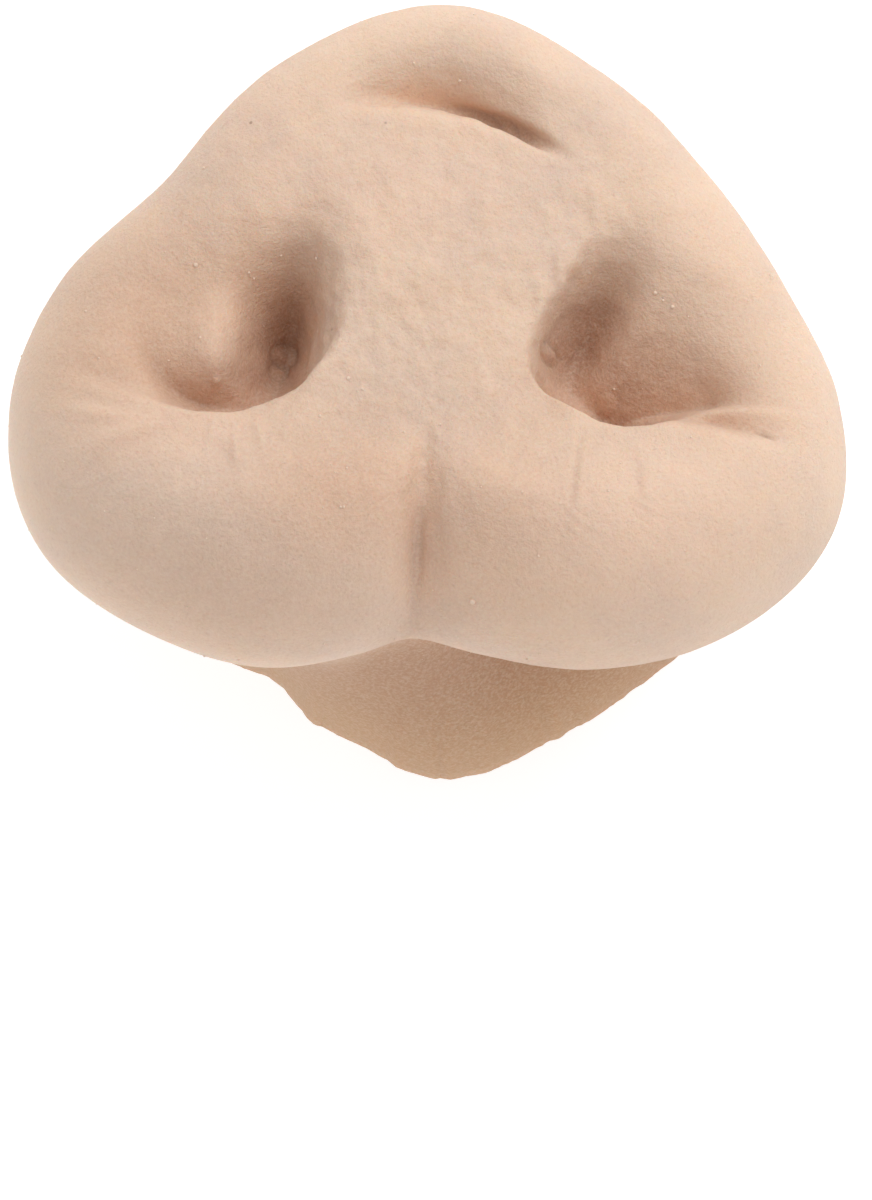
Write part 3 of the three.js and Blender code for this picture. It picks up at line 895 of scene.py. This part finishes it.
# %% [markdown]
# ## Notes on the skin: roll and skirt
#
# Past the disc, the notes follow the direction and the station. The roll gets a pale painted rim
# light at two places and painted shade over the top, and the latex is **thin** towards the glued
# edge. The **tongue** is brown, and its tint also paints the shadow that the lobes cast on it. Its
# tint starts at another station, and is weaker or stronger, to the left and to the right of the
# groove, so the painted shadow follows the lobes. The turns are in degrees from the tongue's middle.

# %% Roll, thin edge and tongue
ROLL_STARTS = 1.3
ROLL_STOPS = 2.5
ROLL_RISE = 2.2
ROLL_FALL = 2.5
RimLight = namedtuple("RimLight", "angle wide")
# A pale painted rim light on the roll, at two directions on its sides.
RIM_LIGHT = [
    RimLight(186, 20),
    RimLight(322, 26),
]
SHADE_OVER_TOP = 0.8
THIN_STARTS = 2.35
THIN_ELSEWHERE = 0.35
Tint = namedtuple("Tint", "start_turn start strength_turn strength")
# The tongue's brown tint is partly painted shadow under the lobes: it starts sooner and is stronger under
# the right lobe, later and weaker under the left one.
LEFT_TINT = Tint(-5, 1.8, -9, 0.9)
RIGHT_TINT = Tint(4, 1.35, 4, 1.2)
GROOVE_START = 1.5
TINT_BLEND = 15
TINT_RISE = 1.3
TINT_EASE = 1.8
TINT_WIDTH = 55

on_roll = smooth(ROLL_RISE * (outer_station - ROLL_STARTS))
on_roll *= smooth(ROLL_FALL * (ROLL_STOPS - outer_station))
rim_light_shares = [np.exp(-(((outer_angle - row.angle) / row.wide) ** 2)) for row in RIM_LIGHT]
painted_rim_light = on_roll * np.maximum.reduce(rim_light_shares)
over_top = smooth(2 * np.sin(np.radians(outer_angle)) - 1)
# Painted shade over the top of the roll as well.
painted_shade = np.maximum(painted_shade, SHADE_OVER_TOP * on_roll * over_top)
thin_edge = smooth((outer_station - THIN_STARTS) / (AT_EDGE - THIN_STARTS))
thin_edge *= THIN_ELSEWHERE + (1 - THIN_ELSEWHERE) * in_tongue(outer_angle)

left_start = smooth((TONGUE_ANGLE + LEFT_TINT.start_turn - outer_angle) / TINT_BLEND)
right_start = smooth((outer_angle - TONGUE_ANGLE - RIGHT_TINT.start_turn) / TINT_BLEND)
tint_start = GROOVE_START + (LEFT_TINT.start - GROOVE_START) * left_start
tint_start += (RIGHT_TINT.start - GROOVE_START) * right_start
from_tongue = np.mod(outer_angle - TONGUE_ANGLE + FULL_TURN / 2, FULL_TURN) - FULL_TURN / 2
left_strength = (LEFT_TINT.strength - 1) * smooth((LEFT_TINT.strength_turn - from_tongue) / TINT_BLEND)
right_strength = (RIGHT_TINT.strength - 1) * smooth((from_tongue - RIGHT_TINT.strength_turn) / TINT_BLEND)
tongue = smooth(TINT_RISE * (outer_station - tint_start)) * (1 + left_strength + right_strength)
tongue *= smooth(TINT_EASE - np.abs(from_tongue) / TINT_WIDTH)
print("points in the tongue's tint:", int((tongue > 0.5).sum()))

# %% [markdown]
# ## Keep the notes on the mesh
#
# Each note is one number for each point of the mesh, which the material reads by its name. The
# inside has two of them, as one level all over. The pips take theirs from the nearest point of
# the casting.

# %% Keep the notes
NOTES = {
    "pit": pit,
    "core": core,
    "fold": fold_shade,
    "line": line,
    "powder_and_shade": powder_and_shade,
    "painted_shade": painted_shade,
    "painted_light": painted_light,
    "painted_rim_light": painted_rim_light,
    "thin": thin_edge,
    "tongue": tongue,
}
INSIDE = {"thin": 0.25, "tongue": 0.6}


def in_net_order(name, values):
    """A note's numbers for all points of the casting, in the order of its net."""
    level = INSIDE.get(name, 0)
    inside = np.full(inner[:, 1:].shape[:2], level)
    rings = np.concatenate([inside, values[:, :0:-1]], axis=1)
    return np.concatenate([rings.ravel(), [level, values[0, 0]]])


def write_note(piece, name, numbers):
    attribute = piece.data.attributes.new(name, "FLOAT", "POINT")
    attribute.data.foreach_set("value", numbers.astype(np.float32))


snout_points = np.array([v.co for v in snout.data.vertices])
pip_feet = np.array([v.co for v in pips.data.vertices])[::PIP_POINTS]
nearest_point = [int(np.argmin(((snout_points - foot) ** 2).sum(1))) for foot in pip_feet]
for name, values in NOTES.items():
    on_snout = in_net_order(name, values)
    write_note(snout, name, on_snout)
    write_note(pips, name, np.repeat(on_snout[nearest_point], PIP_POINTS))
print("notes on the skin:", ", ".join(NOTES))

# %% [markdown]
# ## Writing shader sums as sums
#
# A material is a net of nodes, and joining them one by one is slow to read. The class below
# wraps a socket so that `1 - mask` or `a * b + c` builds the Math nodes by itself. Colours are
# mixed with `blend`, because a Math node would turn them grey.

# %% A socket that does sums
class Wire:
    """One output socket of a node, with sums that add Math nodes."""

    def __init__(self, paint, socket):
        self.paint = paint
        self.socket = socket

    def math(self, operation, other):
        return self.paint.node("ShaderNodeMath", {"operation": operation}, {0: self, 1: other})

    def __add__(self, other):
        return self.math("ADD", other)

    def __mul__(self, other):
        return self.math("MULTIPLY", other)

    __rmul__ = __mul__

    def __rsub__(self, other):
        return self.paint.node("ShaderNodeMath", {"operation": "SUBTRACT"}, {0: other, 1: self})

    def between(self, start, end):
        """0 below start and 1 above end, or the other way round where end is the lower one."""
        inputs = {"Value": self, "From Min": start, "From Max": end}
        return self.paint.node("ShaderNodeMapRange", {"interpolation_type": "SMOOTHSTEP"}, inputs, "Result")

    def blend(self, first, second):
        """first where this is 0 and second where it is 1, for colours."""
        inputs = {"Factor": self, 6: first, 7: second}
        return self.paint.node("ShaderNodeMix", {"data_type": "RGBA"}, inputs, 2)

# %% [markdown]
# ## A material that takes nodes
#
# `Paint` is one material with its net. Its `node` adds any node, sets it up and joins what it is
# handed, and the other methods add the few nodes that we need often.

# %% Paint
BUMP_STRENGTH = 0.8


class Paint:
    """A material, and one method that adds any node to it."""

    def __init__(self, name):
        self.material = bpy.data.materials.new(name)
        self.material.use_nodes = True
        self.tree = self.material.node_tree
        self.tree.nodes.clear()

    def node(self, kind, settings=None, inputs=None, output=0):
        made = self.tree.nodes.new(kind)
        for setting, value in (settings or {}).items():
            setattr(made, setting, value)
        for socket, value in (inputs or {}).items():
            if isinstance(value, Wire):
                self.tree.links.new(value.socket, made.inputs[socket])
            else:
                made.inputs[socket].default_value = value
        return Wire(self, made.outputs[output])

    def note(self, name):
        return self.node("ShaderNodeAttribute", {"attribute_name": name}, {}, "Fac")

    def place(self):
        return self.node("ShaderNodeTexCoord", {}, {}, "Object")

    def noise(self, size, detail, roughness):
        """Soft noise with features of a size in mm."""
        inputs = {"Vector": self.place(), "Scale": 1 / (size * MM)}
        inputs |= {"Detail": detail, "Roughness": roughness}
        return self.node("ShaderNodeTexNoise", {}, inputs, "Fac")

    def spots(self, gap):
        """The distance to the nearest of many spots that lie a gap in mm apart."""
        inputs = {"Vector": self.place(), "Scale": 1 / (gap * MM), "Randomness": 1.0}
        return self.node("ShaderNodeTexVoronoi", {"feature": "F1"}, inputs, "Distance")

    def bump(self, height, depth, under=None):
        """Makes the skin look raised by up to a depth in mm, on top of another bump."""
        inputs = {"Strength": BUMP_STRENGTH, "Distance": depth * MM, "Height": height}
        if under:
            inputs["Normal"] = under
        return self.node("ShaderNodeBump", {}, inputs, "Normal")

    def finish(self, shader):
        output = self.tree.nodes.new("ShaderNodeOutputMaterial")
        self.tree.links.new(shader.socket, output.inputs["Surface"])
        return self.material


def tone(red, green, blue):
    """A colour given from 0 to 255, as the linear light that the shader wants."""
    return tuple(((v / 255 + 0.055) / 1.055) ** 2.4 for v in (red, green, blue)) + (1.0,)

# %% [markdown]
# ## The latex
#
# Uncoloured latex would be cream, and this one has a flesh tint stirred in. It is matte, because
# it was dusted with powder to stop it sticking to itself, and light goes a millimetre or two
# into it: that is what makes thin lips glow warm. Its colour drifts a little from place to
# place, is greyer where the powder lies thick, and yellower at the thin edge. On top of that the
# colour carries painted light and shade: it is darker and browner down in the pits, folds and fine
# lines, under the lobes, on the left lobe and in patches where the snout should lie in shade, and
# paler in patches and on two sides of the roll where it should catch more light.
#
# So we mix it in layers. A **mottle** mixes a colour in where a noise lies between two levels,
# and a **colour layer** where a note says so. Two bumps stand for what is too fine for the grid.

# %% The layers of colour
Mottle = namedtuple("Mottle", "low high share colour")
ColourLayer = namedtuple("ColourLayer", "note share colour")
CREAM = tone(238, 208, 184)
DRIFT = Mottle(0.35, 0.68, 1.0, tone(228, 200, 180))
FINE_DRIFT = Mottle(0.4, 0.75, 0.35, tone(240, 205, 172))
POWDER_THICK = 0.6
POWDER_THIN = Mottle(0.55, 0.8, 0.15, tone(208, 183, 168))
POWDER_GAPS = (0.05, 0.6)
# Only the thin edge's layer is the latex's own colour. The paler layers are painted light, the darker ones
# painted shade, and the tongue's is brown latex with a painted shadow under the lobes.
COLOUR_LAYERS = [
    ColourLayer("painted_light", 0.5, tone(248, 210, 184)),
    ColourLayer("painted_rim_light", 0.6, tone(255, 232, 212)),
    ColourLayer("painted_shade", 0.65, tone(218, 178, 150)),
    ColourLayer("fold", 0.35, tone(205, 165, 140)),
    ColourLayer("line", 0.5, tone(150, 106, 82)),
    ColourLayer("pit", 0.5, tone(202, 160, 134)),
    ColourLayer("core", 0.7, tone(154, 104, 76)),
    ColourLayer("tongue", 0.85, tone(181, 135, 103)),
    ColourLayer("thin", 0.5, tone(200, 158, 112)),
]
LIGHT_GRAIN = Mottle(0.35, 0.75, 0.22, tone(252, 234, 214))
DARK_GRAIN = Mottle(0.42, 0.2, 0.26, tone(190, 150, 124))
SPOT_GAP = 3.4
SPOTS = Mottle(0.05, 0.02, 0.55, tone(140, 104, 80))
SPOTTED = (0.5, 0.56)
HIGHLIGHT_COLOUR = tone(255, 240, 222)
print("layers of colour:", ", ".join(colour_layer.note for colour_layer in COLOUR_LAYERS))


# %% Mix the latex
def mottled(colour, source, mottle):
    """A colour with a mottle in it, where a noise or another number is its source."""
    return (source.between(mottle.low, mottle.high) * mottle.share).blend(colour, mottle.colour)


def latex(name, painted_highlight, glow):
    """The latex, with a pale painted highlight over it and a share of the light that goes into it."""
    paint = Paint(name)
    drift = paint.noise(7.0, 3.0, 0.55)
    fine_drift = paint.noise(1.6, 3.0, 0.6)
    grain = paint.noise(0.22, 2.0, 0.7)
    swell = paint.noise(0.9, 3.0, 0.6)

    colour = mottled(CREAM, drift, DRIFT)
    colour = mottled(colour, fine_drift, FINE_DRIFT)
    # The powder note greys the left lobe, partly as painted shade.
    powder_and_shade_mix = paint.note("powder_and_shade") * POWDER_THICK
    powder_and_shade_mix += drift.between(POWDER_THIN.low, POWDER_THIN.high) * POWDER_THIN.share
    colour = (powder_and_shade_mix * fine_drift.between(*POWDER_GAPS)).blend(colour, POWDER_THIN.colour)
    for colour_layer in COLOUR_LAYERS:
        colour = (paint.note(colour_layer.note) * colour_layer.share).blend(colour, colour_layer.colour)
    colour = mottled(colour, grain, LIGHT_GRAIN)
    colour = mottled(colour, grain, DARK_GRAIN)
    spots = paint.spots(SPOT_GAP).between(SPOTS.low, SPOTS.high) * drift.between(*SPOTTED) * SPOTS.share
    colour = spots.blend(colour, SPOTS.colour)
    # The pips are paler all over: a painted highlight for the light that their small domes catch.
    if painted_highlight:
        inputs = {"Factor": painted_highlight, 6: colour, 7: HIGHLIGHT_COLOUR}
        colour = paint.node("ShaderNodeMix", {"data_type": "RGBA"}, inputs, 2)

    shader = paint.node("ShaderNodeBsdfPrincipled", {"subsurface_method": "RANDOM_WALK"}, {
        "Base Color": colour,
        "Roughness": 0.72 - 0.14 * paint.note("pit"),
        "IOR": 1.45,
        "Specular IOR Level": 0.35,
        "Subsurface Weight": glow,
        "Subsurface Radius": (1.0, 0.42, 0.22),
        "Subsurface Scale": 1.6 * MM,
        "Normal": paint.bump(grain, 0.1, under=paint.bump(swell, 0.13)),
    })
    return paint.finish(shader)


snout.data.materials.append(latex("powdered_latex", painted_highlight=0.0, glow=0.3))
pips.data.materials.append(latex("latex_pips", painted_highlight=0.35, glow=0.0))
print("materials:", snout.data.materials[0].name, "and", pips.data.materials[0].name)

# %% [markdown]
# ## Seat it on the model
#
# Both pieces ride on the model's one body, and the fine casting stands for the plain one, which
# is then hidden.

# %% Seat it on the model
for piece in (snout, pips):
    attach(piece, "root")
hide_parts(NODE)
print("pieces:", snout.name, "and", pips.name)

# %% [markdown]
# ## Table and light
#
# The snout lies on a white table in an even, bright light, so the shadows are pale. A white
# world does most of it. A large soft lamp stands high at the upper right, and a weak one stands
# low in front.

# %% Table and light
TABLE_HALF = 1.5
TABLE_DROP = 0.02
TABLE_GLOW = 0.76
Lamp = namedtuple("Lamp", "name place size power")
LAMPS = [
    Lamp("key", (0.294, 0.445, 0.712), 0.6, 3.7),
    Lamp("fill", (0, -0.62, 0.2), 0.5, 0.2),
]
AIM = (0, 0, 0.02)
WORLD_STRENGTH = 0.56


def table():
    """A white table top that glows a little, just under the glued edge."""
    bm = bmesh.new()
    bmesh.ops.create_grid(bm, x_segments=1, y_segments=1, size=TABLE_HALF)
    mesh = bpy.data.meshes.new("table")
    bm.to_mesh(mesh)
    bm.free()
    top = bpy.data.objects.new("table_top", mesh)
    top.location.z = -TABLE_DROP * MM
    bpy.context.scene.collection.objects.link(top)
    paint = Paint("white_table")
    shader = paint.node("ShaderNodeBsdfPrincipled", {}, {
        "Base Color": (0.5, 0.5, 0.5, 1),
        "Roughness": 0.9,
        "Emission Color": (1, 1, 1, 1),
        "Emission Strength": TABLE_GLOW,
    })
    mesh.materials.append(paint.finish(shader))


def hang(lamp):
    """Hangs a round soft lamp that shines at the snout."""
    light = bpy.data.lights.new(lamp.name, "AREA")
    light.shape = "DISK"
    light.size = lamp.size
    light.energy = lamp.power
    hung = bpy.data.objects.new(lamp.name, light)
    hung.location = lamp.place
    hung.rotation_euler = (Vector(AIM) - Vector(lamp.place)).to_track_quat("-Z", "Y").to_euler()
    bpy.context.scene.collection.objects.link(hung)


def white_world(strength):
    """White all round."""
    world = bpy.data.worlds.new("white_room")
    world.use_nodes = True
    background = world.node_tree.nodes["Background"]
    background.inputs["Color"].default_value = (1, 1, 1, 1)
    background.inputs["Strength"].default_value = strength
    bpy.context.scene.world = world


table()
for lamp in LAMPS:
    hang(lamp)
white_world(WORLD_STRENGTH)
bpy.context.scene.view_settings.view_transform = "Standard"
print("lamps:", ", ".join("%s %.1f W" % (lamp.name, lamp.power) for lamp in LAMPS))

# %% [markdown]
# ## Camera
#
# The photograph looks almost straight at the disc, so we look down on the lying snout, nine
# degrees off the plumb line. The lens is long: it stands 0.6 m away, and its frame takes in
# 77 mm there. The picture is 872 by 1200, and the middle of the disc sits well above its centre.

# %% Camera
IMAGE_HEIGHT = 1200
PIXELS_PER_MM = 15.6
LEAN = math.radians(9)
DISTANCE = 600
SIGHT_HEIGHT = 29.0
SIGHT_FROM_CENTRE = (-6, 200)
SENSOR = 24
NEAREST = 0.01


def camera():
    """A camera that has the disc's middle where the photograph has it."""
    back = Vector((0, -math.sin(LEAN), math.cos(LEAN)))
    up = Vector((0, math.cos(LEAN), math.sin(LEAN)))
    right = Vector((1, 0, 0))
    aside, above = (pixels / PIXELS_PER_MM for pixels in SIGHT_FROM_CENTRE)
    sight = Vector((-disc_axis[0], -disc_axis[1], SIGHT_HEIGHT))
    aim = sight - aside * right - above * up
    data = bpy.data.cameras.new("camera")
    data.sensor_fit = "VERTICAL"
    data.sensor_height = SENSOR
    data.lens = SENSOR * DISTANCE * PIXELS_PER_MM / IMAGE_HEIGHT
    data.clip_start = NEAREST
    seen_from = bpy.data.objects.new("camera", data)
    turned = Matrix((right, up, back)).transposed().to_4x4()
    seen_from.matrix_world = Matrix.Translation((aim + DISTANCE * back) * MM) @ turned
    bpy.context.scene.collection.objects.link(seen_from)
    bpy.context.scene.camera = seen_from
    print("camera: lens %.0f mm, at" % data.lens, tuple(round(v, 3) for v in seen_from.location))


camera()
